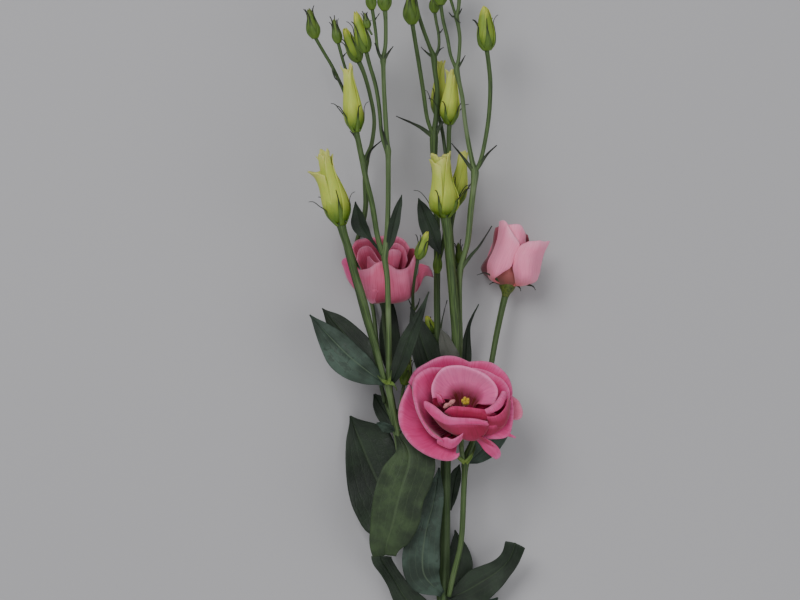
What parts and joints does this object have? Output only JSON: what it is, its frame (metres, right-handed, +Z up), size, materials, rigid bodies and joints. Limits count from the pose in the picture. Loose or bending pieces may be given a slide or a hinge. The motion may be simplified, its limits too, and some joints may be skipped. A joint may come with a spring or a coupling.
{
  "type": "lisianthus flower",
  "caption": "Cut lisianthus spray lying down: a branching stem with leaves, an open double rose-pink flower, a pink cup-shaped flower, a half-open pale one and green buds.",
  "frame": {"origin": "middle of the underside of the bounding box, on the surface that the spray lies on", "axes": "+Y along the stem from its cut end towards the buds, +Z up from the surface, the open flower looks up"},
  "size_m": [0.1446, 0.5772, 0.0682],
  "materials": {
    "stem": "fresh green stem, satin, slightly ridged",
    "leaf": "blue-green leaf with a waxy bloom and darker spots",
    "bud": "yellow-green bud in a darker green calyx",
    "petal_rose": "soft rose-pink petal with fine veins",
    "petal_deep": "deep crimson-pink inner petal",
    "petal_pale": "pale pink petal",
    "pistil": "pale stigma with yellow anthers"
  },
  "bodies": {
    "root": {"main_stem": "stem", "right_branch": "stem", "left_branch": "stem", "rear_shoot": "stem", "centre_shoot": "stem", "right_shoot": "stem", "flower_a_stalk": "stem", "flower_b_stalk": "stem", "bud_01": "bud", "bud_02": "bud", "bud_03": "bud", "bud_04": "bud", "bud_05": "bud", "bud_06": "bud", "bud_07": "bud", "bud_08": "bud", "bud_09": "bud", "bud_10": "bud", "bud_11": "bud", "bud_12": "bud", "bud_13": "bud", "bud_14": "bud", "bud_15": "bud", "bud_16": "bud", "leaf_01": "leaf", "leaf_02": "leaf", "leaf_03": "leaf", "leaf_04": "leaf", "leaf_05": "leaf", "leaf_06": "leaf", "leaf_07": "leaf", "leaf_08": "leaf", "leaf_09": "leaf", "leaf_10": "leaf", "leaf_11": "leaf", "leaf_12": "leaf", "leaf_13": "leaf", "leaf_14": "leaf", "leaf_15": "leaf", "leaf_16": "leaf", "leaf_17": "leaf", "leaf_18": "leaf", "flower_a_petal_1": "petal_rose", "flower_a_petal_2": "petal_rose", "flower_a_petal_3": "petal_rose", "flower_a_petal_4": "petal_rose", "flower_a_petal_5": "petal_rose", "flower_a_petal_6": "petal_deep", "flower_a_petal_7": "petal_deep", "flower_a_petal_8": "petal_deep", "flower_a_pistil": "pistil", "flower_b_petal_1": "petal_rose", "flower_b_petal_2": "petal_rose", "flower_b_petal_3": "petal_rose", "flower_b_petal_4": "petal_rose", "flower_b_petal_5": "petal_rose", "flower_c_petal_1": "petal_pale", "flower_c_petal_2": "petal_pale", "flower_c_petal_3": "petal_pale", "flower_c_petal_4": "petal_pale"}
  },
  "joints": []
}
